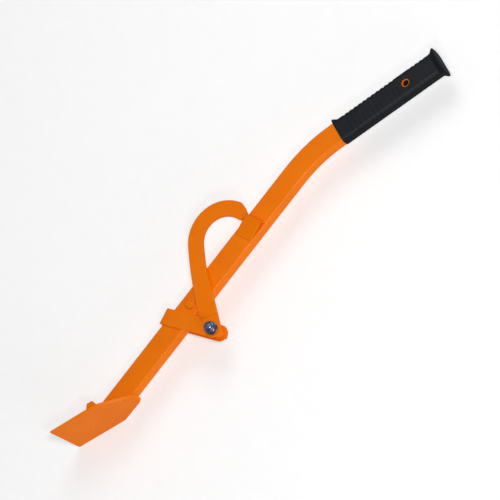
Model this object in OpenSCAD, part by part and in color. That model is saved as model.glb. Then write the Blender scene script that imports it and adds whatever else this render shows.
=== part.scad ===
// Felling lever with a swinging log hook, lying on its back.
// +X runs along the lever tube to the grip, +Y to the side that the hook curls over, +Z up
// out of the tube's face. The origin is the middle of the hanging hole in the grip.
// Inside the modules x = 0 is the hook's hinge axis and y = 0 the middle of the lever tube.

/* [Lever tube] */
// Width of the tube's face
tube_w = 34; // [30:1:38]
// Depth of the tube from face to back
tube_t = 20; // [18:1:26]
// Wall of the tube
tube_wall = 2; // [1.5:0.25:3]
// Outer corner radius of the tube
tube_r = 3; // [2.5:0.5:4]
// From the hinge axis to the start of the bend
bend_start = 252; // [220:1:300]
// Radius of the bend on the tube's middle line
bend_r = 260; // [200:5:320]
// Angle of the bend
bend_deg = 19; // [10:1:25]
// Straight tube after the bend
tube_end = 186; // [170:1:240]

/* [Hanging hole] */
// From the end of the bend to the hanging hole
hang_x = 133; // [110:1:150]
// Bore through the tube
hang_d = 10; // [8:0.5:12]
// Window in the grip around the bore
window_d = 13; // [12.5:0.5:16]

/* [Blade] */
// Angle between the blade and the tube
blade_deg = 25; // [18:1:32]
// Thickness of the blade
blade_t = 5; // [4:0.5:7]
// Thickness left at the cutting edge
tip_t = 1.6; // [1:0.2:2.4]
// Length of the blade
blade_len = 129; // [115:1:150]
// Length of the ground taper behind the edge
taper_len = 60; // [40:1:62]
// From the hinge axis back to the blade's heel
heel_x = 156; // [140:1:190]
// Width of the blade at its heel
heel_w = 27; // [24:1:34]
// Width of the blade at its shoulders
shoulder_w = 88; // [76:1:96]
// From the heel to the shoulders
shoulder_x = 43; // [34:1:48]
// Width of the cutting edge
edge_w = 96; // [90:1:110]
// Radius of the corners of the edge
edge_r = 3; // [2:0.5:6]

/* [Blade lugs] */
// From the heel to the lugs
lug_x = 46; // [44:1:56]
// Length of a lug where it leaves the blade
lug_len = 18; // [14:1:24]
// Length of a lug at its top
lug_top = 9; // [5:1:12]
// Height of a lug over the blade
lug_h = 8.5; // [5:0.5:12]
// Thickness of a lug
lug_t = 5; // [3:0.5:6]

/* [Hook bracket] */
// From the tube's middle line out to the hinge axis
pivot_out = 58; // [50:1:66]
// Width of the bracket strap
strap_w = 25; // [22:1:30]
// Thickness of the bracket strap
strap_t = 3; // [2.5:0.5:4]
// Slant of the strap from square across the tube
strap_skew = 22; // [10:1:28]
// Slant of the strap's folds from the line along the tube
fold_skew = 12; // [6:1:16]
// Play between the strap's web and the tube
web_gap = 2.5; // [0.3:0.1:5]
// Outer radius of the strap's folds
fold_r = 5; // [4.5:0.5:7]

/* [Pivot] */
// Diameter of the pivot bolt
bolt_d = 10; // [8:1:12]
// Height of the bolt head
head_h = 6.4; // [5:0.2:8]
// Width of bolt head and nut across the flats
flats = 17; // [17:1:19]
// Height of the lock nut
nut_h = 10; // [8:0.5:12]
// Depth of the nylon ring in the nut
ring_h = 2.6; // [2:0.2:3]
// Wall of the nylon ring
ring_wall = 1.4; // [1:0.1:1.5]
// Diameter of the washers
washer_d = 20; // [20:0.5:24]
// Thickness of the washers
washer_t = 2; // [1.5:0.25:2.5]
// Diameter of the spacer sleeve between the legs
sleeve_d = 16; // [14:1:22]
// Diameter of the bush that the hook turns on
bush_d = 14; // [14:0.5:16]
// Bolt that shows past the nut
bolt_proud = 2; // [1:0.5:4]

/* [Hook] */
// Thickness of the hook
hook_t = 6; // [5:0.5:8]
// Thickness of the hook's flattened eye
eye_t = 3; // [2.5:0.25:4]
// Width of the eye
eye_w = 26.2; // [25:0.2:30]
// Sideways offset of the eye from the hinge axis
eye_off = 1.2; // [0:0.1:3]
// Heading of the eye from the tube, in degrees
eye_deg = 57; // [50:1:62]
// From the hinge axis to the foot of the shoulder
step_foot = 21; // [18:0.5:23]
// From the hinge axis to the top of the shoulder
step_top = 28.5; // [25:0.5:32]
// Depth of the groove at the foot of the shoulder
groove_d = 1; // [0.5:0.1:1.4]
// Centre of the bow along the tube
bow_x = 114; // [100:1:118]
// Centre of the bow across the tube
bow_y = 18.5; // [15:0.5:24]
// Inner radius of the bow
bow_r = 35.5; // [30:0.5:37]
// Width of the bow and the arm
bow_w = 24.4; // [22:0.2:26]
// Where the arm meets the bow, in degrees around the bow
bow_start = 137; // [125:1:145]
// Where the point starts, in degrees around the bow
bow_end = 14; // [8:1:20]
// How far the outer edge draws in before the shoulder of the point
nose_in = 4.3; // [2:0.1:6]
// How far the outer edge draws in at the shoulder of the point
shoulder_in = 8.8; // [6:0.1:11]
// Reach of the point from the bow's centre
point_r = 47.7; // [44:0.1:48.4]
// Where the point ends, in degrees below the bow's centre
point_deg = 28; // [20:1:30]

/* [Pad] */
// Diameter of the pad that the hook slides over
pad_d = 16.6; // [12:0.2:17]
// Height of the pad over the tube's face
pad_h = 3; // [2:0.1:3]
// Pad ahead of the hinge axis
pad_x = 7; // [6:0.5:14]
// Pad from the tube's middle line
pad_y = 1; // [0:0.5:4]
// Chamfer on the pad
pad_chamfer = 1.2; // [0.5:0.1:1.6]

/* [Keeper] */
// From the hinge axis to the keeper's low end
keeper_x = 134; // [130:1:136]
// Run of the keeper's ramp
keeper_run = 31; // [30.5:0.5:34]
// Height of the keeper over the tube's face
keeper_h = 12.5; // [12:0.1:15]
// Run of the keeper's back leg
keeper_leg = 4; // [3:0.5:6]
// Thickness of the keeper
keeper_t = 2; // [1.5:0.25:2.5]
// Width of the keeper
keeper_w = 28; // [24:1:28]
// Shift of the keeper from the tube's middle line towards the hinge
keeper_off = 0.7; // [0:0.1:1]
// Slant of the keeper's ends from square across the tube
keeper_skew = 12; // [8:1:14]

/* [Grip] */
// Wall of the grip
grip_wall = 2; // [1.8:0.1:5]
// Corner radius of the grip
grip_r = 8; // [4:0.5:8.5]
// From the end of the bend to the grip
grip_start = 7; // [4:0.5:12]
// Solid end of the grip past the tube
grip_cap = 7; // [4:0.5:10]
// How far the end flange stands out all round
flange_out = 5.5; // [3:0.5:8]
// Length of the flange's flare
flange_len = 8; // [6:0.5:14]
// How far the front lip stands out on the upper side
lip_out = 5; // [2:0.5:7]
// Length of the front lip
lip_len = 11; // [8:0.5:16]
// Distance between the finger grooves
rib_pitch = 6; // [5:0.25:8]
// Depth of the finger grooves
rib_depth = 0.8; // [0.4:0.1:1]
// Length of each grooved stretch
rib_zone = 48; // [36:1:54]

/* [Welds] */
// Leg of the welds along the tube's slanted end
blade_bead = 3; // [2:0.25:3.25]
// Leg of the weld across the blade's heel
heel_bead = 4.5; // [3:0.5:6]
// Leg of the welds at the bracket
strap_bead = 1.8; // [1:0.1:2]
// Leg of the welds at the keeper
keeper_bead = 2; // [1:0.1:2]
// Leg of the weld around the pad
pad_bead = 1.2; // [0.6:0.1:1.6]

/* [Clearances] */
// Play of the hook on its bush, all round
turn_gap = 0.05; // [0.03:0.01:0.09]
// Play of the hook between bracket and washer
side_gap = 0.3; // [0.2:0.05:0.5]
// Play of the bolt in its plain holes, all round
hole_gap = 0.25; // [0.1:0.05:0.5]
// Play in the nut's thread, all round
thread_gap = 0.05; // [0.02:0.01:0.1]
// Play between the grip and the tube
grip_gap = 0.1; // [0.05:0.05:0.2]
// Play between the point and the keeper's ramp at its mouth
point_gap = 0.5; // [0.4:0.1:1]

/* [Hidden] */
$fn = 64;

orange = "#E76F02";
zinc = "#B4BAC2";
rubber = "#22252D";

// levels over the middle plane of the tube
face_z = tube_t / 2;
strap_z = face_z + strap_t;
hook_z = strap_z + side_gap;
eye_z = hook_z + eye_t;
arm_z = hook_z + hook_t;
bush_z = eye_z + side_gap;
nut_z = bush_z + washer_t;
bolt_z = nut_z + nut_h + bolt_proud;
bolt_chamfer = 1.2;

// end of the bend and the hanging hole
bend_end_x = bend_start + bend_r * sin(bend_deg);
bend_end_y = -bend_r * (1 - cos(bend_deg));
hole_x = bend_end_x + hang_x * cos(bend_deg);
hole_y = bend_end_y - hang_x * sin(bend_deg);

// blade: its top face starts at the tube's lower side
heel_y = -tube_w / 2 - blade_t * cos(blade_deg);
cut_len = tube_w / sin(blade_deg);
tube_back = -heel_x - tube_w / tan(blade_deg) - blade_t;

// bracket: the web just clears the tube at the strap's edge on the blade's side
fold_turn = strap_skew - fold_skew;
web_reach = tube_w / 2 + pivot_out + sin(fold_skew) * strap_w / 2 / cos(fold_turn);
web_in = web_reach / (cos(fold_skew) - sin(fold_skew) * tan(fold_turn)) + web_gap;
web_out = web_in + strap_t;

// hook: the arm is one long arc from the bow to the hinge axis, with a straight edge beside the eye
bow_mid = bow_r + bow_w / 2;
bow_out = bow_r + bow_w;
bow = [bow_x, bow_y];
arm_head = bow_start - 90;
arm_from = bow + bow_mid * [cos(bow_start), sin(bow_start)];
arm_span = arm_from - [0, -pivot_out];
arm_chord = norm(arm_span);
arm_turn = 2 * (atan2(arm_span.y, arm_span.x) - arm_head);
arm_r = arm_chord / (2 * sin(arm_turn / 2));
arm_c = arm_from + arm_r * [sin(arm_head), -cos(arm_head)];
neck_len = arm_chord * 0.85;
nose_deg = 5.7;
shoulder_deg = -4.4;
inner_in = 2;
trim_over = 1;

// keeper: the slope and the height of its underside
ramp_foot = 1.5;
ramp_slope = (keeper_h - ramp_foot) / keeper_run;
ramp_drop = keeper_t * sqrt(1 + ramp_slope * ramp_slope) - ramp_foot;
keeper_len = keeper_run + keeper_leg;
leg_slope = keeper_leg / keeper_h;
leg_t = keeper_t * sqrt(1 + leg_slope * leg_slope);
inner_h = (ramp_slope * (keeper_len - leg_t) - ramp_drop) / (1 + ramp_slope * leg_slope);
point_taper = 0.06;
point_side = 0.8;
point_shoulder = 2.5;
keeper_edge = keeper_w / 2 - keeper_off;

// grip
grip_w = tube_w + 2 * (grip_gap + grip_wall);
grip_t = tube_t + 2 * (grip_gap + grip_wall);
grip_len = tube_end + grip_cap - grip_start;
rib_r = 6;

big = 400;

function polar(r, a) = bow + r * [cos(a), sin(a)];

// Everything is drawn from the hinge axis and moved once, to the hanging hole.
module placed() translate([-hole_x, -hole_y, 0]) children();

module at_pivot() translate([0, -pivot_out, 0]) children();

module at_bend_end() translate([bend_start, -bend_r, 0]) rotate([0, 0, -bend_deg])
  translate([0, bend_r, 0]) children();

module at_heel() translate([-heel_x, heel_y, 0]) rotate([0, 0, -blade_deg]) children();

module at_strap() at_pivot() rotate([0, 0, 90 + strap_skew]) children();

module at_keeper() translate([keeper_x, 0, face_z]) rotate([0, 0, keeper_skew]) children();

// A rectangle with rounded corners, made of plain squares and circles.
module rounded(w, h, r) {
  square([w - 2 * r, h], center = true);
  square([w, h - 2 * r], center = true);
  for (x = [-1, 1], y = [-1, 1])
    translate([x * (w / 2 - r), y * (h / 2 - r)]) circle(r);
}

// A section drawn in y and z, run along x.
module along_x(len) rotate([90, 0, 90]) linear_extrude(len) children();

// A side view drawn in x and y, run along z and centred on the middle plane.
module across(width) translate([0, 0, -width / 2]) linear_extrude(width) children();

// The lever's rounded section shrunk by an inset and swept through straight, bend and straight.
module lever_sweep(inset) {
  w = tube_w - 2 * inset;
  t = tube_t - 2 * inset;
  r = tube_r - min(inset, tube_r - 0.5);
  translate([tube_back, 0, 0]) along_x(bend_start - tube_back) rounded(w, t, r);
  intersection() {
    translate([bend_start, -bend_r, 0]) rotate_extrude($fn = 128) translate([bend_r, 0]) rounded(w, t, r);
    translate([bend_start, -big, -big / 2]) cube([big, 2 * big, big]);
    at_bend_end() translate([-big, -big, -big / 2]) cube([big, 2 * big, big]);
  }
  at_bend_end() along_x(tube_end) rounded(w, t, r);
}

// Everything under the blade's top face.
module under_blade() at_heel() translate([-big, -big, -big / 2]) cube([2 * big, big + blade_t, big]);

module tube_solid() difference() {
  lever_sweep(0);
  under_blade();
}

module hang_bore(d) at_bend_end() translate([hang_x, 0, 0]) cylinder(d = d, h = big, center = true);

module lever_tube() color(orange) difference() {
  tube_solid();
  lever_sweep(tube_wall);
  hang_bore(hang_d);
}

// Outline of the blade: x runs back from the heel, y is the width.
module blade_outline() {
  polygon([[0, -heel_w / 2], [-shoulder_x, -shoulder_w / 2], [-blade_len + edge_r, -edge_w / 2],
    [-blade_len + edge_r, edge_w / 2], [-shoulder_x, shoulder_w / 2], [0, heel_w / 2]]);
  translate([-blade_len + edge_r, 0]) square([2 * edge_r, edge_w - 2 * edge_r], center = true);
  for (y = [-1, 1]) translate([-blade_len + edge_r, y * (edge_w / 2 - edge_r)]) circle(edge_r);
}

module blade_plate() difference() {
  rotate([90, 0, 0]) translate([0, 0, -blade_t]) linear_extrude(blade_t) blade_outline();
  across(big) polygon([[-blade_len + taper_len, blade_t], [-blade_len, tip_t],
    [-blade_len - big, tip_t], [-blade_len - big, blade_t + big], [-blade_len + taper_len, blade_t + big]]);
}

// The lugs are the corners of the blank, folded up at the shoulders.
module blade_lugs() for (side = [-1, 1])
  translate([0, 0, side * (shoulder_w - lug_t) / 2]) across(lug_t)
    polygon([[-lug_x, blade_t - 1], [-lug_x, blade_t], [-lug_x - (lug_len - lug_top) / 2, blade_t + lug_h],
      [-lug_x - (lug_len + lug_top) / 2, blade_t + lug_h], [-lug_x - lug_len, blade_t],
      [-lug_x - lug_len, blade_t - 1]]);

module blade() color(orange) at_heel() {
  blade_plate();
  blade_lugs();
}

// One bead along each side of the tube's slanted end, one at its toe and one behind the heel.
module blade_weld() color(orange) difference() {
  at_heel() union() {
    for (side = [-1, 1]) translate([-cut_len, blade_t, side * face_z]) rotate([0, 90, 0])
      cylinder(r = blade_bead, h = cut_len);
    translate([-cut_len, blade_t, 0]) cylinder(r = blade_bead, h = tube_t + blade_bead, center = true);
    translate([0, blade_t, 0]) cylinder(r = heel_bead, h = heel_w - 2, center = true);
  }
  tube_solid();
  at_heel() across(big) polygon([[big, -big], [big, 0], [0, 0], [0, blade_t], [-big, blade_t], [-big, -big]]);
}

// Side view of the strap: two legs and a web with rounded folds.
module strap_side() difference() {
  union() {
    translate([-strap_w, -strap_z]) square([web_out - fold_r + strap_w, 2 * strap_z]);
    translate([0, fold_r - strap_z]) square([web_out, 2 * (strap_z - fold_r)]);
    for (y = [-1, 1]) translate([web_out - fold_r, y * (strap_z - fold_r)]) circle(fold_r);
  }
  translate([-strap_w - 1, -face_z]) square([web_in + strap_w + 1, tube_t]);
}

// The folded sheet, cut to the slanted outline of the strap with its round ears.
module strap_solid() intersection() {
  at_pivot() rotate([0, 0, 90 + fold_skew]) rotate([90, 0, 0])
    linear_extrude(6 * strap_w, center = true) strap_side();
  at_strap() linear_extrude(big, center = true) {
    circle(d = strap_w);
    translate([0, -strap_w / 2]) square([big, strap_w]);
  }
}

module bolt_hole() at_pivot() cylinder(r = bolt_d / 2 + hole_gap, h = big, center = true);

module hook_bracket() color(orange) difference() {
  strap_solid();
  bolt_hole();
}

// Fillets along both edges of both legs where they cross the tube's flat faces.
module bracket_welds() color(orange) intersection() {
  at_strap() for (side = [-1, 1], face = [-1, 1]) along_x(web_out)
    polygon([[side * strap_w / 2, face * face_z], [side * (strap_w / 2 + strap_bead), face * face_z],
      [side * strap_w / 2, face * (face_z + strap_bead)]]);
  cube([big, tube_w - 2 * tube_r, big], center = true);
}

module ring(d_out, r_in, h) difference() {
  cylinder(d = d_out, h = h);
  translate([0, 0, -1]) cylinder(r = r_in, h = h + 2);
}

module spacer_sleeve() color(orange) at_pivot() translate([0, 0, -face_z])
  ring(sleeve_d, bolt_d / 2 + hole_gap, tube_t);

module rear_washer() color(zinc) at_pivot() translate([0, 0, -strap_z - washer_t])
  ring(washer_d, bolt_d / 2 + hole_gap, washer_t);

module front_washer() color(zinc) at_pivot() translate([0, 0, bush_z])
  ring(washer_d, bolt_d / 2 + hole_gap, washer_t);

module hook_bush() color(zinc) at_pivot() translate([0, 0, strap_z])
  ring(bush_d, bolt_d / 2 + hole_gap, bush_z - strap_z);

// A hexagon with its corners turned off at the far end.
module hexagon(h) intersection() {
  cylinder(d = flats / cos(30), h = h, $fn = 6);
  union() {
    cylinder(d = flats / cos(30) + 1, h = h - 1.2);
    translate([0, 0, h - 1.2]) cylinder(d1 = flats / cos(30), d2 = flats * 0.95, h = 1.2);
  }
}

module pivot_bolt() color(zinc) at_pivot() {
  translate([0, 0, -strap_z - washer_t]) mirror([0, 0, 1]) hexagon(head_h);
  translate([0, 0, -strap_z - washer_t])
    cylinder(d = bolt_d, h = bolt_z + strap_z + washer_t - bolt_chamfer);
  translate([0, 0, bolt_z - bolt_chamfer])
    cylinder(d1 = bolt_d, d2 = bolt_d - 2 * bolt_chamfer, h = bolt_chamfer);
}

module lock_nut() color(zinc) at_pivot() translate([0, 0, nut_z]) difference() {
  union() {
    hexagon(nut_h - ring_h);
    cylinder(d = flats - 1, h = nut_h);
  }
  translate([0, 0, -1]) cylinder(r = bolt_d / 2 + thread_gap, h = nut_h + 2);
  translate([0, 0, nut_h - ring_h]) cylinder(r = bolt_d / 2 + ring_wall, h = ring_h + 1);
}

module nylon_ring() color("#3F6FB0") at_pivot() translate([0, 0, nut_z + nut_h - ring_h])
  ring(bolt_d + 2 * ring_wall, bolt_d / 2 + thread_gap, ring_h);

// The part of a flat ring between two angles.
module arc_band(r_in, r_out, from, to) intersection() {
  difference() {
    circle(r_out, $fn = 160);
    circle(r_in, $fn = 160);
  }
  polygon([[0, 0], 2 * r_out * [cos(from), sin(from)], 2 * r_out * [cos((from + to) / 2), sin((from + to) / 2)],
    2 * r_out * [cos(to), sin(to)]]);
}

// What is trimmed off both edges of the bow's end to leave the point.
module point_trim() polygon([polar(bow_out + trim_over, bow_end + 3), polar(bow_out - nose_in, nose_deg),
  polar(bow_out - shoulder_in, shoulder_deg), polar(point_r, shoulder_deg - 2), polar(point_r, -point_deg),
  polar(bow_r + inner_in, shoulder_deg), polar(bow_r - trim_over, bow_end + 3),
  polar(bow_r / 2, bow_end + 3), polar(bow_r / 2, -2 * point_deg), polar(2 * bow_out, -2 * point_deg),
  polar(bow_out + bow_r / 2, bow_end + 3)]);

module hook_outline() {
  difference() {
    translate(bow) arc_band(bow_r, bow_out, -point_deg - 3, bow_start);
    point_trim();
  }
  translate(arm_c) arc_band(arm_r - bow_w / 2, arm_r + bow_w / 2, bow_start, bow_start + arm_turn * 0.86);
  translate([0, -pivot_out]) rotate(eye_deg) translate([0, -eye_off]) {
    translate([step_top / 2, 0]) rounded(eye_w + step_top, eye_w, eye_w / 3);
    translate([0, -eye_w / 2]) square([neck_len, eye_w / 2]);
  }
}

// What is forged away from the front of the eye, up to the sloping shoulder and its groove.
module eye_relief() at_pivot() rotate([0, 0, eye_deg]) rotate([90, 0, 0])
  linear_extrude(big, center = true)
    polygon([[-big, eye_z], [step_foot - 1.5, eye_z], [step_foot - 1.5, eye_z - groove_d],
      [step_foot, eye_z - groove_d], [step_foot, eye_z], [step_top, arm_z], [step_top, big], [-big, big]]);

// What is ground off the point so that it wedges under the keeper's ramp.
module point_relief() intersection() {
  at_keeper() translate([0, keeper_edge, -point_gap]) rotate([atan(point_taper), 0, 0]) rotate([90, 0, 0])
    linear_extrude(big, center = true)
      polygon([[0, -ramp_drop], [big, ramp_slope * big - ramp_drop], [0, big]]);
  rotate([90, 0, 90]) linear_extrude(big)
    polygon([[-big, strap_z], [keeper_edge + point_side, strap_z], [keeper_edge + point_shoulder, arm_z],
      [keeper_edge + point_shoulder, big], [-big, big]]);
}

module hook() color(orange) difference() {
  translate([0, 0, hook_z]) linear_extrude(hook_t) hook_outline();
  eye_relief();
  point_relief();
  at_pivot() cylinder(r = bush_d / 2 + turn_gap, h = big, center = true);
}

module bearing_pad() color(orange) translate([pad_x, pad_y, face_z]) {
  cylinder(d = pad_d, h = pad_h - pad_chamfer);
  translate([0, 0, pad_h - pad_chamfer]) cylinder(d1 = pad_d, d2 = pad_d - 2 * pad_chamfer, h = pad_chamfer);
}

module pad_weld() color(orange) translate([pad_x, pad_y, face_z]) difference() {
  cylinder(d1 = pad_d + 2 * pad_bead, d2 = pad_d, h = pad_bead);
  translate([0, 0, -1]) cylinder(d = pad_d, h = pad_bead + 2);
}

// Side view of the keeper: a ramp that rises from the tube's face and a leg back down.
module keeper_side() polygon([[0, 0], [0, ramp_foot], [keeper_run, keeper_h], [keeper_len, 0],
  [keeper_len - leg_t, 0], [keeper_len - leg_t - leg_slope * inner_h, inner_h], [ramp_drop / ramp_slope, 0]]);

// The length of tube that the keeper covers, with a margin at both of its ends.
module keeper_band(width) translate([keeper_x - keeper_len, -keeper_off - width / 2, face_z])
  cube([3 * keeper_len, width, big]);

module keeper() color(orange) intersection() {
  at_keeper() rotate([90, 0, 0]) linear_extrude(2 * tube_w, center = true) keeper_side();
  keeper_band(keeper_w);
}

module keeper_welds() color(orange) difference() {
  intersection() {
    at_keeper() for (x = [0, keeper_len]) translate([x, 0, 0]) rotate([90, 0, 0])
      cylinder(r = keeper_bead, h = 2 * tube_w, center = true);
    keeper_band(tube_w - 2 * tube_r);
  }
  at_keeper() rotate([90, 0, 0]) linear_extrude(2 * tube_w + 2, center = true)
    polygon([[0, -1], [0, ramp_foot], [keeper_run, keeper_h], [keeper_len, 0], [keeper_len, -1]]);
}

// One stretch of the grip's end flare between two stations.
module flare(x1, out1, x2, out2) hull() {
  translate([x1, 0, 0]) along_x(0.1) rounded(grip_w + 2 * out1, grip_t + 2 * out1, grip_r + out1, $fn = 32);
  translate([x2 - 0.1, 0, 0]) along_x(0.1) rounded(grip_w + 2 * out2, grip_t + 2 * out2, grip_r + out2, $fn = 32);
}

module grip_outside() {
  end = grip_start + grip_len;
  translate([grip_start, 0, 0]) along_x(grip_len - flange_len) rounded(grip_w, grip_t, grip_r);
  flare(end - flange_len, 0, end - flange_len * 0.45, flange_out * 0.3);
  flare(end - flange_len * 0.45, flange_out * 0.3, end - 1.5, flange_out);
  flare(end - 1.5, flange_out, end, flange_out * 0.9);
  across(grip_t - grip_r) polygon([[grip_start, 0], [grip_start - 1, grip_w / 2 + lip_out - 1.5],
    [grip_start, grip_w / 2 + lip_out], [grip_start + 2, grip_w / 2 + lip_out - 0.5],
    [grip_start + lip_len * 0.5, grip_w / 2 + lip_out * 0.35], [grip_start + lip_len, grip_w / 2],
    [grip_start + lip_len, 0]]);
}

// Finger grooves across the upper side, in one stretch near each end.
module grip_grooves() for (from = [grip_start + lip_len + rib_r, grip_start + grip_len - flange_len - rib_zone],
    x = [from : rib_pitch : from + rib_zone - rib_r])
  translate([x, grip_w / 2 + rib_r - rib_depth, 0]) cylinder(r = rib_r, h = big, center = true, $fn = 32);

module grip() color(rubber) difference() {
  at_bend_end() difference() {
    grip_outside();
    grip_grooves();
    translate([-1, 0, 0]) along_x(tube_end + grip_gap + 1)
      rounded(tube_w + 2 * grip_gap, tube_t + 2 * grip_gap, tube_r + grip_gap);
  }
  hang_bore(window_d);
}

placed() lever_tube();
placed() blade();
placed() blade_weld();
placed() hook_bracket();
placed() bracket_welds();
placed() spacer_sleeve();
placed() pivot_bolt();
placed() rear_washer();
placed() front_washer();
placed() lock_nut();
placed() nylon_ring();
placed() hook_bush();
placed() hook();
placed() bearing_pad();
placed() pad_weld();
placed() keeper();
placed() keeper_welds();
placed() grip();
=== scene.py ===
# %% [markdown]
# # Felling lever with a swinging log hook
#
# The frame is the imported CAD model: every solid is already in its place and at its real size.
# This script dresses that frame. Plates and tubes get softened edges, the welds, the fasteners
# and the rubber grip are modelled in detail, and every piece gets a procedural material.

# %% Load the frame
import math
import bmesh
import bpy
from mathutils import Matrix, Vector


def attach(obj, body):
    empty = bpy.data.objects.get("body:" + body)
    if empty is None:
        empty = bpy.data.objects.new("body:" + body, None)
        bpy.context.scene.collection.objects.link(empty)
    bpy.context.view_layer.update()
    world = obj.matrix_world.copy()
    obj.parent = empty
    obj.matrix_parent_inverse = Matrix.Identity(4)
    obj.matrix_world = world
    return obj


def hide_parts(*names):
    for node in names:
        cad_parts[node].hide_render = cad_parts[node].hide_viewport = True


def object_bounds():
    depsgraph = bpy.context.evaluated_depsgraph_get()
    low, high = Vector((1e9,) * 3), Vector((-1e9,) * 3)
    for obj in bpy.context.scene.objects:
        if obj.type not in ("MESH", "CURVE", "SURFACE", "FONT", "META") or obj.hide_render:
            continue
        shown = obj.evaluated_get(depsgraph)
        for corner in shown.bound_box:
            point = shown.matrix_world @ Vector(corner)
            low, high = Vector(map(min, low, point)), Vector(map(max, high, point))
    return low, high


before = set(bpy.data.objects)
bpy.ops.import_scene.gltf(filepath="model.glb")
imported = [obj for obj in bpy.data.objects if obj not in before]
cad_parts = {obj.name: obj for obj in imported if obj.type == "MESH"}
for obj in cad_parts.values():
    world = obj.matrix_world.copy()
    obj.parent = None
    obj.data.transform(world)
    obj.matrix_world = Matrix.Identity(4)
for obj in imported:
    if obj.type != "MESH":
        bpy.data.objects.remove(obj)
cad_low, cad_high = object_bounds()

# %% [markdown]
# ## Where things are
#
# The lever was drawn in millimetres from the hook's hinge: x along the tube, y across its face
# and z out of its face. The frame's origin is the hanging hole in the grip, so one shift takes a
# drawing place to a frame place. The grip lies along the second leg of the bent tube, so it has
# its own axes there. All sizes below repeat the CAD part's driving dimensions.

# %% Sizes and places
MM = 0.001
TUBE_W, TUBE_T, TUBE_R = 34.0, 20.0, 3.0
FACE_Z = TUBE_T / 2
BEND_START, BEND_R, BEND_DEG = 252.0, 260.0, 19.0
HANG_X, WINDOW_R = 133.0, 6.5
PIVOT = (0.0, -58.0)
HEEL_X, BLADE_T, BLADE_DEG = 156.0, 5.0, 25.0
STRAP_W, STRAP_T, STRAP_SKEW = 25.0, 3.0, 22.0
KEEPER_X, KEEPER_RUN, KEEPER_LEG, KEEPER_SKEW, KEEPER_OFF = 134.0, 31.0, 4.0, 12.0, 0.7
GRIP_START, GRIP_END = 7.0, 193.0
GRIP_W, GRIP_T, GRIP_R = TUBE_W + 4.2, TUBE_T + 4.2, 8.0

bend = math.radians(BEND_DEG)
BEND_END = (BEND_START + BEND_R * math.sin(bend), -BEND_R * (1 - math.cos(bend)))
ORIGIN = Vector((BEND_END[0] + HANG_X * math.cos(bend), BEND_END[1] - HANG_X * math.sin(bend), 0))


def at(x, y, z):
    """A place given from the hinge in millimetres, as a place in the frame in metres."""
    return (Vector((x, y, z)) - ORIGIN) * MM


def turned(origin, degrees):
    """Returns a function that places points in axes turned by degrees about z at origin."""
    c, s = math.cos(math.radians(degrees)), math.sin(math.radians(degrees))
    return lambda x, y, z: at(origin[0] + x * c - y * s, origin[1] + x * s + y * c, z)


at_grip = turned(BEND_END, -BEND_DEG)
heel = (-HEEL_X, -TUBE_W / 2 - BLADE_T * math.cos(math.radians(BLADE_DEG)))
at_heel = turned(heel, -BLADE_DEG)
at_strap = turned(PIVOT, 90 + STRAP_SKEW)
at_keeper = turned((KEEPER_X, 0.0), KEEPER_SKEW)
at_pivot = turned(PIVOT, 0)
print("hinge at", tuple(round(v, 4) for v in at_pivot(0, 0, 0)))

# %% [markdown]
# ## Camera
#
# The photograph looks steeply down on the lever's face through a long lens, rolled so that the
# tube runs from the lower left to the upper right. The three directions below are the
# picture's right, up and towards-the-camera axes in the frame. The distance and the lens give
# the slight perspective of the picture.

# %% Camera
RIGHT = Vector((0.6142, -0.6641, -0.4272))
TOWARD = Vector((0.059, -0.500, 0.8655)).normalized()
AIM = at(125.3, -23.3, FACE_Z)
DISTANCE, PICTURE_W, SENSOR = 6.0, 0.742, 36.0


def new_object(name, data):
    """An object with the given data, linked to the scene."""
    thing = bpy.data.objects.new(name, data)
    bpy.context.scene.collection.objects.link(thing)
    return thing


up = TOWARD.cross(RIGHT).normalized()
right = up.cross(TOWARD)
camera_data = bpy.data.cameras.new("camera")
camera_data.sensor_width = SENSOR
camera_data.lens = SENSOR * DISTANCE / PICTURE_W
camera = new_object("camera", camera_data)
turn = Matrix((right, up, TOWARD)).transposed().to_4x4()
camera.matrix_world = Matrix.Translation(AIM + TOWARD * DISTANCE) @ turn
bpy.context.scene.camera = camera
print("lens", round(camera_data.lens, 1), "mm")

# %% [markdown]
# ## Colours and node trees
#
# Colours are written as the sRGB values that a screen shows, and one function makes them linear.
# One small helper adds a node and links its inputs, so each material reads as a recipe. All
# patterns use object coordinates, which are metres here because every mesh is placed in the
# frame, so a scale of 1000 means one feature for each millimetre.

# %% Material helpers
def linear(hex_colour):
    """An sRGB colour such as "E76F02" as linear red, green, blue and alpha."""
    parts = [int(hex_colour[i : i + 2], 16) / 255 for i in (0, 2, 4)]
    return [c / 12.92 if c <= 0.04045 else ((c + 0.055) / 1.055) ** 2.4 for c in parts] + [1.0]


def add(tree, kind, links=(), **values):
    """Adds a node, sets its properties and its inputs, and links (input, node, output) triples."""
    node = tree.nodes.new(kind)
    for key, value in values.items():
        if hasattr(node, key):
            setattr(node, key, value)
        else:
            node.inputs[key.replace("_", " ")].default_value = value
    for name, source, output in links:
        tree.links.new(source.outputs[output], node.inputs[name])
    return node


def start_material(name):
    """An empty node material with its shader, output and object coordinates."""
    material = bpy.data.materials.new(name)
    material.use_nodes = True
    tree = material.node_tree
    tree.nodes.clear()
    shader = add(tree, "ShaderNodeBsdfPrincipled")
    add(tree, "ShaderNodeOutputMaterial", [("Surface", shader, "BSDF")])
    return material, tree, shader, add(tree, "ShaderNodeTexCoord")


def spread(tree, noise, low, high):
    """Maps a noise pattern's middle band to a low and a high value."""
    return add(tree, "ShaderNodeMapRange", [("Value", noise, "Fac")],
               From_Min=0.3, From_Max=0.7, To_Min=low, To_Max=high)


def noise(tree, coord, scale, detail):
    """A noise pattern in object coordinates."""
    return add(tree, "ShaderNodeTexNoise", [("Vector", coord, "Object")],
               Scale=scale, Detail=detail)


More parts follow.
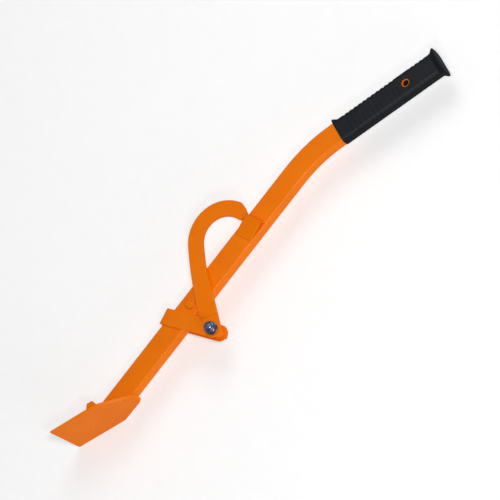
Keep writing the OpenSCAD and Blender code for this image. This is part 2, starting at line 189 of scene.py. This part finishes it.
def relief(tree, height, strength, distance, under=None):
    """A bump from a noise pattern, on top of another bump if one is given."""
    links = [("Height", height, "Fac")] + ([("Normal", under, "Normal")] if under else [])
    return add(tree, "ShaderNodeBump", links, Strength=strength, Distance=distance)


def tint(tree, shader, pattern, first, second):
    """Mixes two colours by a noise pattern and feeds the shader's base colour."""
    mix = add(tree, "ShaderNodeMixRGB", [("Fac", spread(tree, pattern, 0.0, 1.0), "Result")],
              Color1=linear(first), Color2=linear(second))
    tree.links.new(mix.outputs["Color"], shader.inputs["Base Color"])


def surface(tree, shader, dull, bump):
    """Feeds the shader's roughness and normal."""
    tree.links.new(dull.outputs["Result"], shader.inputs["Roughness"])
    tree.links.new(bump.outputs["Normal"], shader.inputs["Normal"])


# %% [markdown]
# ## Orange powder coat
#
# The steel is blasted, sprayed with orange powder and baked. Baked powder flows into a smooth
# satin film with a faint orange-peel of about two millimetres and a much finer grain. The film
# is a little thinner and duller in places, so colour and roughness drift slowly over a few
# centimetres.

# %% Orange powder coat
def powder_coat():
    material, tree, shader, coord = start_material("orange_powder_coat_baked")
    drift = noise(tree, coord, 28.0, 3.0)
    peel = noise(tree, coord, 520.0, 2.0)
    grain = noise(tree, coord, 2600.0, 2.0)
    tint(tree, shader, drift, "F27A00", "EE7400")
    soft = relief(tree, peel, 0.10, 0.0002)
    surface(tree, shader, spread(tree, drift, 0.26, 0.32), relief(tree, grain, 0.05, 0.00004, soft))
    shader.inputs["IOR"].default_value = 1.24
    return material


orange = powder_coat()
print("made", orange.name)

# %% [markdown]
# ## Zinc-plated steel
#
# Bolt, nut and washers are bought parts with a bright zinc plate. The plate is a thin bluish
# metal skin that dulls unevenly, so the roughness varies over a millimetre or two and faint
# handling marks cross it.

# %% Zinc plate
def zinc_plate():
    material, tree, shader, coord = start_material("zinc_plated_steel_bright")
    cloud = noise(tree, coord, 420.0, 4.0)
    marks = noise(tree, coord, 1500.0, 3.0)
    tint(tree, shader, cloud, "81869E", "6F758C")
    surface(tree, shader, spread(tree, marks, 0.22, 0.42), relief(tree, marks, 0.12, 0.00005))
    shader.inputs["Metallic"].default_value = 1.0
    return material


zinc = zinc_plate()
print("made", zinc.name)

# %% [markdown]
# ## Moulded rubber and nylon
#
# The grip is moulded from blue-black rubber. The mould is lightly sandblasted, which leaves a
# fine matt grain that catches a broad soft light. The ring in the lock nut is dyed nylon, which
# is smoother and slightly waxy.

# %% Rubber and nylon
def moulded(name, dark, light, rough_low, rough_high, grain_strength):
    material, tree, shader, coord = start_material(name)
    cloud = noise(tree, coord, 60.0, 3.0)
    grain = noise(tree, coord, 3200.0, 2.0)
    tint(tree, shader, cloud, dark, light)
    surface(tree, shader, spread(tree, cloud, rough_low, rough_high),
            relief(tree, grain, grain_strength, 0.0001))
    shader.inputs["IOR"].default_value = 1.33
    return material


rubber = moulded("grip_rubber_sandblast_moulded", "0B0E14", "11151D", 0.44, 0.52, 0.20)
nylon = moulded("nylon_ring_moulded", "2B4468", "34507A", 0.40, 0.50, 0.10)
print("made", rubber.name, "and", nylon.name)

# %% [markdown]
# ## Turning meshes into pieces
#
# Each new mesh is built around the frame's own coordinates, so the finished object stays at the
# origin untransformed. Normals are made to point outwards, faces are shaded smooth and edges
# sharper than a set angle stay sharp. The piece then rides on its body and takes the place of
# the CAD nodes that it stands for.

# %% Piece helpers
SHARP_DEG, FLAT_DEG, MERGE = 35.0, 0.4, 2e-6


def finish_piece(bm, name, body, material, nodes, sharp=SHARP_DEG):
    """Makes an object from a bmesh, smooths it, paints it and gives it to a body."""
    bmesh.ops.recalc_face_normals(bm, faces=bm.faces)
    mesh = bpy.data.meshes.new(name)
    bm.to_mesh(mesh)
    bm.free()
    mesh.shade_smooth()
    mesh.set_sharp_from_angle(angle=math.radians(sharp))
    mesh.materials.append(material)
    piece = new_object(name, mesh)
    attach(piece, body)
    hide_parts(*nodes)
    return piece


def soften(piece, width, segments=3):
    """Rounds a piece's sharp edges by a width in millimetres."""
    modifier = piece.modifiers.new("edge_round", "BEVEL")
    modifier.width = width * MM
    modifier.segments = segments
    modifier.limit_method = "ANGLE"
    modifier.angle_limit = math.radians(SHARP_DEG)
    modifier.harden_normals = True
    return piece


def dressed(node, name, body, width):
    """A copy of a CAD node, merged into clean faces, with rounded edges and the orange coat."""
    bm = bmesh.new()
    bm.from_mesh(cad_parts[node].data)
    bmesh.ops.remove_doubles(bm, verts=bm.verts, dist=MERGE)
    bmesh.ops.dissolve_limit(bm, angle_limit=math.radians(FLAT_DEG), verts=bm.verts, edges=bm.edges)
    return soften(finish_piece(bm, name, body, orange, [node]), width)


# %% [markdown]
# ## Painted steel parts
#
# The tube, blade, bracket, spacer, pad and keeper are cut, folded and welded mild steel. Cut
# and sheared edges are never knife sharp under powder: the film and the deburring round them by
# a few tenths of a millimetre, and that small radius is what catches the light along every edge.

# %% Painted steel parts
plates = [
    ("lever_tube", 0.3), ("blade", 0.7), ("hook_bracket", 0.5), ("spacer_sleeve", 0.4),
    ("bearing_pad", 0.3), ("keeper", 0.6),
]
for node, width in plates:
    piece = dressed(node, node + "_painted", "lever", width)
    print(piece.name, len(piece.data.polygons), "faces")

# %% [markdown]
# ## The hook
#
# The hook is flame cut from six millimetre plate and its eye is forged down to half of that.
# Its edges are well rounded by tumbling before it is painted, so they get a wider radius than
# the plates.

# %% Hook
hook = dressed("hook", "hook_painted", "hook", 0.8)
print(hook.name, len(hook.data.polygons), "faces")

# %% [markdown]
# ## Weld beads
#
# A welding robot lays each bead as a row of overlapping puddles, so a real bead is a rounded
# ridge with a ripple every millimetre or so. A bead is modelled as a round section swept along
# the joint. Its radius swells and shrinks with each puddle and tapers off at both ends.

# %% Bead maker
BEAD_STEP, BEAD_SIDES = 0.35, 14
RIPPLE_PITCH, RIPPLE_DEPTH = 1.3, 0.10


def ripple(along):
    """The share of a bead's radius that its puddles leave at a place along it."""
    return 1 - RIPPLE_DEPTH * abs(math.sin(math.pi * along / RIPPLE_PITCH))


def ring_at(bm, centre, tangent, radius):
    """One ring of vertices around a tangent."""
    side = tangent.cross(Vector((0, 0, 1)))
    if side.length < 0.01:
        side = tangent.cross(Vector((1, 0, 0)))
    side.normalize()
    lift = side.cross(tangent).normalized()
    angles = [2 * math.pi * k / BEAD_SIDES for k in range(BEAD_SIDES)]
    return [bm.verts.new(centre + radius * MM * (side * math.cos(a) + lift * math.sin(a)))
            for a in angles]


def skin(bm, rings, closed=False):
    """Joins neighbouring rings with quads, and caps the ends or closes the loop."""
    count = len(rings[0])
    pairs = list(zip(rings, rings[1:]))
    if closed:
        pairs.append((rings[-1], rings[0]))
    for first, second in pairs:
        for k in range(count):
            n = (k + 1) % count
            bm.faces.new((first[k], first[n], second[n], second[k]))
    if not closed:
        bm.faces.new(rings[0])
        bm.faces.new(rings[-1])


def bead(bm, start, end, radius):
    """A straight rippled bead between two frame places, tapered off at both ends."""
    length = (end - start).length / MM
    tangent = (end - start).normalized()
    steps = max(8, int(length / BEAD_STEP))
    rings = []
    for k in range(steps + 1):
        along = length * k / steps
        wander = 1 + 0.05 * math.sin(along * 0.9) + 0.03 * math.sin(along * 2.3)
        edge = min(along, length - along) / (radius * 0.9)
        taper = math.sqrt(max(0.04, 1 - (1 - min(1.0, edge)) ** 2))
        rings.append(ring_at(bm, start + tangent * along * MM, tangent,
                             radius * ripple(along) * wander * taper))
    skin(bm, rings)


def round_bead(bm, centre, path_r, radius):
    """A rippled bead around a circle in the tube's face plane."""
    steps = int(2 * math.pi * path_r / BEAD_STEP)
    rings = []
    for k in range(steps):
        a = 2 * math.pi * k / steps
        out = Vector((math.cos(a), math.sin(a), 0))
        rings.append(ring_at(bm, centre + out * path_r * MM, Vector((-out.y, out.x, 0)),
                             radius * ripple(path_r * a)))
    skin(bm, rings, closed=True)


# %% [markdown]
# ## Welds at the blade
#
# The tube's slanted end stands on the blade. One bead runs up each side of it, one closes the
# toe and a thicker one fills the corner behind the blade's heel.

# %% Welds at the blade
SIDE_BEAD_R, TOE_BEAD_R, HEEL_BEAD_R = 2.6, 2.4, 3.4
HEEL_BEAD_Z, HEEL_BEAD_Y = 12.4, BLADE_T - 1.6
cut_len = TUBE_W / math.sin(math.radians(BLADE_DEG))
bm = bmesh.new()
for side in (-1, 1):
    z = side * (FACE_Z - 0.2)
    bead(bm, at_heel(-cut_len + 1, BLADE_T, z), at_heel(-1, BLADE_T, z), SIDE_BEAD_R)
toe = [at_heel(-cut_len - 0.5, BLADE_T, z) for z in (-FACE_Z, FACE_Z)]
bead(bm, *toe, TOE_BEAD_R)
behind = [at_heel(0.6, HEEL_BEAD_Y, z) for z in (-HEEL_BEAD_Z, HEEL_BEAD_Z)]
bead(bm, *behind, HEEL_BEAD_R)
piece = finish_piece(bm, "blade_weld_beads", "lever", orange, ["blade_weld"])
print(piece.name, len(piece.data.polygons), "faces")

# %% [markdown]
# ## Welds at the bracket, keeper and pad
#
# The bracket's legs are welded to the tube along both edges on both faces. The keeper is welded
# across both of its ends, and the pad has a small ring of weld around it.

# %% Small welds
BRACKET_BEAD_R, KEEPER_BEAD_R, PAD_BEAD_R = 1.35, 1.6, 0.9
PAD_X, PAD_Y, PAD_D = 7.0, 1.0, 16.6
BEAD_Z, BEAD_OUT = FACE_Z + 0.1, 0.2
flat = TUBE_W / 2 - TUBE_R

bm = bmesh.new()
skew = math.radians(STRAP_SKEW)
for side in (-1, 1):
    for face in (-1, 1):
        ends = []
        for y in (-flat, flat):
            along = (y - PIVOT[1]) / math.cos(skew) + side * math.tan(skew) * STRAP_W / 2
            ends.append(at_strap(along, side * (STRAP_W / 2 + BEAD_OUT), face * BEAD_Z))
        bead(bm, *ends, BRACKET_BEAD_R)
bracket_beads = finish_piece(bm, "bracket_weld_beads", "lever", orange, ["bracket_welds"])

bm = bmesh.new()
skew = math.radians(KEEPER_SKEW)
for x in (-BEAD_OUT, KEEPER_RUN + KEEPER_LEG + BEAD_OUT):
    ends = [at_keeper(x, (y - x * math.sin(skew)) / math.cos(skew), BEAD_Z)
            for y in (-flat - KEEPER_OFF, flat - KEEPER_OFF)]
    bead(bm, *ends, KEEPER_BEAD_R)
keeper_beads = finish_piece(bm, "keeper_weld_beads", "lever", orange, ["keeper_welds"])

bm = bmesh.new()
round_bead(bm, at(PAD_X, PAD_Y, BEAD_Z), PAD_D / 2 + 0.1, PAD_BEAD_R)
pad_bead = finish_piece(bm, "pad_weld_bead", "lever", orange, ["pad_weld"])
print("beads", bracket_beads.name, keeper_beads.name, pad_bead.name)

# %% [markdown]
# ## Turned and hexagonal fasteners
#
# Washers and the bush are turned or stamped rings, so their section is spun once around the
# bolt's axis. Bolt head and nut start as hexagons whose corners a cutter has turned off at 30
# degrees: seen from the side, that leaves the curved chamfer lines of every real nut. The
# threads are a helix, drawn as rings whose radius follows the thread around the axis.

# %% Fastener makers
THREAD_PITCH, THREAD_DEPTH, RINGS_PER_TURN, AROUND = 1.5, 0.85, 10, 96
TIP_CHAMFER, TIP_SLOPE = 1.0, 0.7
BOLT_R, FLATS, CHAMFER_DEG = 5.0, 17.0, 30.0
STRAP_Z = FACE_Z + STRAP_T
WASHER_T, WASHER_R = 2.0, 10.0
BUSH_Z, BUSH_R = 16.6, 7.0
NUT_Z, NUT_H, RING_H = BUSH_Z + WASHER_T, 10.0, 2.6
NUT_TOP = NUT_Z + NUT_H


def spun(name, profile, material, node):
    """A closed section of (radius, z) points, spun once around the bolt's axis."""
    bm = bmesh.new()
    verts = [bm.verts.new(at_pivot(r, 0, z)) for r, z in profile]
    edges = [bm.edges.new((verts[k], verts[(k + 1) % len(verts)])) for k in range(len(verts))]
    bmesh.ops.spin(bm, geom=verts + edges, cent=at_pivot(0, 0, 0), axis=(0, 0, 1),
                   angle=2 * math.pi, steps=AROUND, use_merge=True)
    bmesh.ops.remove_doubles(bm, verts=bm.verts, dist=1e-6)
    return finish_piece(bm, name, "lever", material, [node], sharp=50)


def washer_profile(r_in, r_out, z_low, z_high, edge=0.35):
    """The section of a stamped washer with small rounded edges."""
    corners = [(r_in, z_low, 1, 1), (r_out, z_low, -1, 1),
               (r_out, z_high, -1, -1), (r_in, z_high, 1, -1)]
    points = []
    for r, z, sr, sz in corners:
        pair = [(r + sr * edge, z), (r + sr * edge * 0.3, z + sz * edge * 0.3), (r, z + sz * edge)]
        if sr * sz > 0:
            pair.reverse()
        points += pair
    return points


def hex_radius(angle):
    """How far a hexagon's side is from its axis at an angle."""
    sixth = math.pi / 3
    return FLATS / 2 / math.cos((angle + sixth / 2) % sixth - sixth / 2)


def value_at(value, angle):
    """A number as it is, or a function's value at the angle."""
    return value(angle) if callable(value) else value


def circle(bm, radius, z):
    """A ring of vertices around the bolt, with radius and z as numbers or functions of angle."""
    ring = []
    for k in range(AROUND):
        a = 2 * math.pi * k / AROUND
        r = value_at(radius, a)
        ring.append(bm.verts.new(at_pivot(r * math.cos(a), r * math.sin(a), value_at(z, a))))
    return ring


def hexagon_rings(bm, z_low, z_high, chamfer_low):
    """Rings of a hexagon that is chamfered at its high end and, if asked, at its low end too."""
    turned_r = FLATS / 2 * 0.96
    s = 1 if z_high > z_low else -1

    def drop(a):
        return s * (hex_radius(a) - turned_r) * math.tan(math.radians(CHAMFER_DEG))

    rings = []
    if chamfer_low:
        rings.append(circle(bm, turned_r, z_low))
        rings.append(circle(bm, hex_radius, lambda a: z_low + drop(a)))
    else:
        rings.append(circle(bm, hex_radius, z_low))
    rings.append(circle(bm, hex_radius, lambda a: z_high - drop(a)))
    rings.append(circle(bm, turned_r, z_high))
    return rings


def thread_rings(bm, z_low, z_high, radius):
    """Rings of a thread whose crest climbs one pitch for each turn, with a chamfered tip."""
    steps = int((z_high - z_low) / THREAD_PITCH * RINGS_PER_TURN)
    rings = []
    for k in range(steps + 1):
        z = z_low + (z_high - z_low) * k / steps

        def crest(a, z=z):
            phase = (z / THREAD_PITCH - a / (2 * math.pi)) % 1
            depth = THREAD_DEPTH * (1 - abs(2 * phase - 1)) * min(1, z - z_low)
            return radius - depth - max(0, z - z_high + TIP_CHAMFER) * TIP_SLOPE

        rings.append(circle(bm, crest, z))
    return rings


# %% [markdown]
# ## Bolt, nut, washers and bush
#
# The bolt comes up from behind the bracket, so its head is at the back and its threaded end
# stands out of the lock nut in front. The nut's collar holds the nylon ring that grips the
# thread. The bush between bracket and washer is what the hook turns on.

# %% Bolt, nut, washers and bush
HEAD_H, BOLT_TOP = 6.4, NUT_TOP + 2.0
SHANK_R, THREAD_HOLE_R, HOLE_R = BOLT_R - 0.05, BOLT_R + 0.05, BOLT_R + 0.25

bm = bmesh.new()
head_top = -STRAP_Z - WASHER_T
rings = hexagon_rings(bm, head_top, head_top - HEAD_H, False)
rings.reverse()
rings += [circle(bm, SHANK_R, z) for z in (head_top, BUSH_Z)]
rings += thread_rings(bm, BUSH_Z + 0.2, BOLT_TOP, SHANK_R)
skin(bm, rings)
bolt = finish_piece(bm, "pivot_bolt_threaded", "lever", zinc, ["pivot_bolt"])

bm = bmesh.new()
collar = NUT_TOP - RING_H
collar_r = FLATS / 2 - 0.6
collar_profile = [
    (collar_r, collar), (collar_r, NUT_TOP - 1.1), (collar_r - 0.35, NUT_TOP - 0.35),
    (collar_r - 1.1, NUT_TOP), (BOLT_R + 1.45, NUT_TOP - 0.1), (BOLT_R + 1.4, collar),
    (THREAD_HOLE_R, collar), (THREAD_HOLE_R, NUT_Z),
]
rings = hexagon_rings(bm, NUT_Z, collar - 0.4, True)
rings += [circle(bm, r, z) for r, z in collar_profile]
skin(bm, rings, closed=True)
nut = finish_piece(bm, "lock_nut_collared", "lever", zinc, ["lock_nut"])
print(bolt.name, len(bolt.data.polygons), nut.name, len(nut.data.polygons))

ring_profile = washer_profile(THREAD_HOLE_R, BOLT_R + 1.38, collar, collar + RING_H - 0.2, 0.3)
rear_profile = washer_profile(HOLE_R, WASHER_R, -STRAP_Z - WASHER_T, -STRAP_Z)
front_profile = washer_profile(HOLE_R, WASHER_R, BUSH_Z, BUSH_Z + WASHER_T)
bush_profile = washer_profile(HOLE_R, BUSH_R, STRAP_Z, BUSH_Z, 0.2)
rings_made = [
    spun("nylon_ring_moulded", ring_profile, nylon, "nylon_ring"),
    spun("rear_washer_stamped", rear_profile, zinc, "rear_washer"),
    spun("front_washer_stamped", front_profile, zinc, "front_washer"),
    spun("hook_bush_turned", bush_profile, zinc, "hook_bush"),
]
print("turned", [ring.name for ring in rings_made])

# %% [markdown]
# ## The rubber grip
#
# The grip is moulded as one sleeve: a rounded oblong section with a flared flange at the far
# end, a small beak at the front and shallow finger waves on the upper narrow side, with only a
# trace of them elsewhere. It is built as a stack of sections along the tube. Each section is the
# same ring of points pushed out or in by functions of the distance along the grip, which is how
# flange, beak and waves are made.

# %% Grip section and swelling
SECTION_POINTS = 112
FLANGE_LEN, FLANGE_OUT, LIP_LEN, LIP_OUT = 10.0, 5.3, 10.0, 5.0
RIB_PITCH, RIB_DEPTH = 8.0, 0.9


def smooth(low, high, value):
    """0 below low, 1 above high and a smooth rise between them."""
    t = min(1.0, max(0.0, (value - low) / (high - low)))
    return t * t * (3 - 2 * t)


def section_point(width, depth, radius, share):
    """The point and outward direction a share of the way round a rounded rectangle."""
    flat_w, flat_d, corner = width - 2 * radius, depth - 2 * radius, math.pi * radius / 2
    walk = share * (2 * flat_w + 2 * flat_d + 4 * corner)
    for quarter in range(4):
        flat_len = flat_d if quarter % 2 == 0 else flat_w
        reach = width / 2 if quarter % 2 == 0 else depth / 2
        a = math.pi / 2 * quarter
        out, side = Vector((math.cos(a), math.sin(a))), Vector((-math.sin(a), math.cos(a)))
        if walk <= flat_len:
            return out * reach + side * (walk - flat_len / 2), out
        walk -= flat_len
        if walk <= corner:
            b = a + walk / radius
            centre = out * (reach - radius) + side * flat_len / 2
            normal = Vector((math.cos(b), math.sin(b)))
            return centre + normal * radius, normal
        walk -= corner
    return out * reach, out


def swelling(x, y_out):
    """How far the grip's skin stands out at x where the skin faces y_out across the grip."""
    flange = FLANGE_OUT * smooth(GRIP_END - FLANGE_LEN, GRIP_END - 1.0, x) ** 1.4
    beak = LIP_OUT * (1 - smooth(GRIP_START + 0.5, GRIP_START + LIP_LEN, x)) * max(0.0, y_out) ** 3
    zone = smooth(GRIP_START + 14, GRIP_START + 20, x) * (1 - smooth(HANG_X - 18, HANG_X - 12, x))
    zone += smooth(HANG_X + 12, HANG_X + 18, x) * (1 - smooth(GRIP_END - 16, GRIP_END - 11, x))
    wave = 0.5 - 0.5 * math.cos(2 * math.pi * x / RIB_PITCH)
    deep = 0.12 + 0.88 * smooth(0.3, 0.8, y_out)
    return flange + beak - RIB_DEPTH * zone * (wave ** 2) * deep


# %% [markdown]
# The stack starts inside the sleeve, turns over the front edge and runs to the rounded end
# cap. The window over the tube's hanging hole is then cut straight through.

# %% Grip skin
def grip_ring(bm, x, width, depth, radius, swell=0.0):
    """One section of the grip at x, with a share of the swelling."""
    ring = []
    for k in range(SECTION_POINTS):
        point, out = section_point(width, depth, radius, k / SECTION_POINTS)
        point = point + out * (swelling(x, out.x) * swell if swell else 0.0)
        ring.append(bm.verts.new(at_grip(x, point.x, point.y)))
    return ring


bm = bmesh.new()
BORE = (TUBE_W + 0.2, TUBE_T + 0.2, TUBE_R + 0.1)
STATIONS, FIRST_X, LAST_X = 186, GRIP_START + 0.6, GRIP_END - 1.0
FRONT_EDGE = [(GRIP_START, 2.4, 1.6, 0.96), (GRIP_START + 0.1, 0.8, 0.4, 1.0)]
END_CAP = [(GRIP_END - 0.4, 0.5, 0.0, 1.0), (GRIP_END, 2.0, 1.0, 1.0)]
sleeve = [(FIRST_X + (LAST_X - FIRST_X) * k / STATIONS, 0.0, 0.0, 1.0)
          for k in range(STATIONS + 1)]
rings = [grip_ring(bm, x, *BORE) for x in (GRIP_START + 30, GRIP_START + 0.2)]
for x, less, less_r, swell in FRONT_EDGE + sleeve + END_CAP:
    rings.append(grip_ring(bm, x, GRIP_W - less, GRIP_T - less, GRIP_R - less_r, swell))
skin(bm, rings)
grip = finish_piece(bm, "grip_moulded", "lever", rubber, ["grip"], sharp=60)

cutter_mesh = bmesh.new()
centre = at_grip(HANG_X, 0, 0)
bmesh.ops.create_cone(cutter_mesh, cap_ends=True, segments=64, radius1=WINDOW_R * MM,
                      radius2=WINDOW_R * MM, depth=60 * MM, matrix=Matrix.Translation(centre))
cutter_data = bpy.data.meshes.new("window_cutter")
cutter_mesh.to_mesh(cutter_data)
cutter_mesh.free()
cutter = new_object("window_cutter", cutter_data)
cut = grip.modifiers.new("window", "BOOLEAN")
cut.operation, cut.object, cut.solver = "DIFFERENCE", cutter, "EXACT"
bpy.context.view_layer.update()
ready = grip.evaluated_get(bpy.context.evaluated_depsgraph_get())
bm = bmesh.new()
bm.from_mesh(ready.to_mesh())
grip.modifiers.clear()
bm.to_mesh(grip.data)
bm.free()
bpy.data.objects.remove(cutter)
soften(grip, 0.5, 2)
print(grip.name, len(grip.data.polygons), "faces")

# %% [markdown]
# ## Floor and light
#
# The photograph is a packshot on white: broad soft light and no hard shadows. A pale floor lies
# just under the blade's lower edge and glows a little, so that it reads as white paper. A large
# key lamp stands above, a smaller one shines from the camera's side, a wide fill comes from
# below on the right and a weak card puts a sheen on the grip. A small edge lamp stands where the
# tube's rounded corner mirrors it to the camera, which draws the thin bright line along it. The
# sky is an even white. The floor is left out of mirror reflections, or the paint looks milky.

# %% Floor and light
FLOOR_SIZE, FLOOR_GAP = 8.0, 0.0005
floor_bm = bmesh.new()
bmesh.ops.create_grid(floor_bm, x_segments=2, y_segments=2, size=FLOOR_SIZE / 2,
                      matrix=Matrix.Translation((AIM.x, AIM.y, cad_low.z - FLOOR_GAP)))
floor_mesh = bpy.data.meshes.new("floor")
floor_bm.to_mesh(floor_mesh)
floor_bm.free()
floor_material, tree, shader, coord = start_material("white_paper_matt")
tint(tree, shader, noise(tree, coord, 90.0, 3.0), "D2D2D2", "CECECE")
shader.inputs["Roughness"].default_value = 0.9
shader.inputs["Emission Color"].default_value = linear("FFFFFF")
shader.inputs["Emission Strength"].default_value = 0.42
floor_mesh.materials.append(floor_material)
floor = new_object("floor", floor_mesh)
floor.visible_glossy = False


def studio(toward, above, aside):
    """A place in metres from the lever, towards the camera, up and right in the picture."""
    return AIM + TOWARD * toward + up * above + right * aside


def soft_lamp(name, place, size, power):
    """A square lamp that looks at the lever."""
    data = bpy.data.lights.new(name, "AREA")
    data.size, data.energy = size, power
    lamp = new_object(name, data)
    lamp.location = place
    lamp.rotation_mode = "QUATERNION"
    lamp.rotation_quaternion = (AIM - place).to_track_quat("-Z", "Y")


EDGE_OUT = Vector((0.0, -0.55, 0.835))  # outward from the tube's lower front corner
glint = 2.0 * EDGE_OUT.dot(TOWARD) * EDGE_OUT - TOWARD
soft_lamp("key", studio(1.3, 1.9, -0.5), 1.3, 16.0)
soft_lamp("front", studio(3.0, 0.1, 0.0), 0.3, 30.0)
soft_lamp("fill", studio(1.5, -1.2, 1.2), 1.4, 13.0)
soft_lamp("edge", AIM + glint * 2.0, 0.15, 4.5)
soft_lamp("card", studio(1.0, 0.92, -1.48), 1.2, 1.0)
world = bpy.data.worlds.new("studio")
world.use_nodes = True
sky = world.node_tree.nodes["Background"]
sky.inputs["Color"].default_value = (1.0, 1.0, 1.0, 1.0)
sky.inputs["Strength"].default_value = 0.24
bpy.context.scene.world = world
bpy.context.scene.view_settings.view_transform = "Standard"
print("floor and lamps placed")
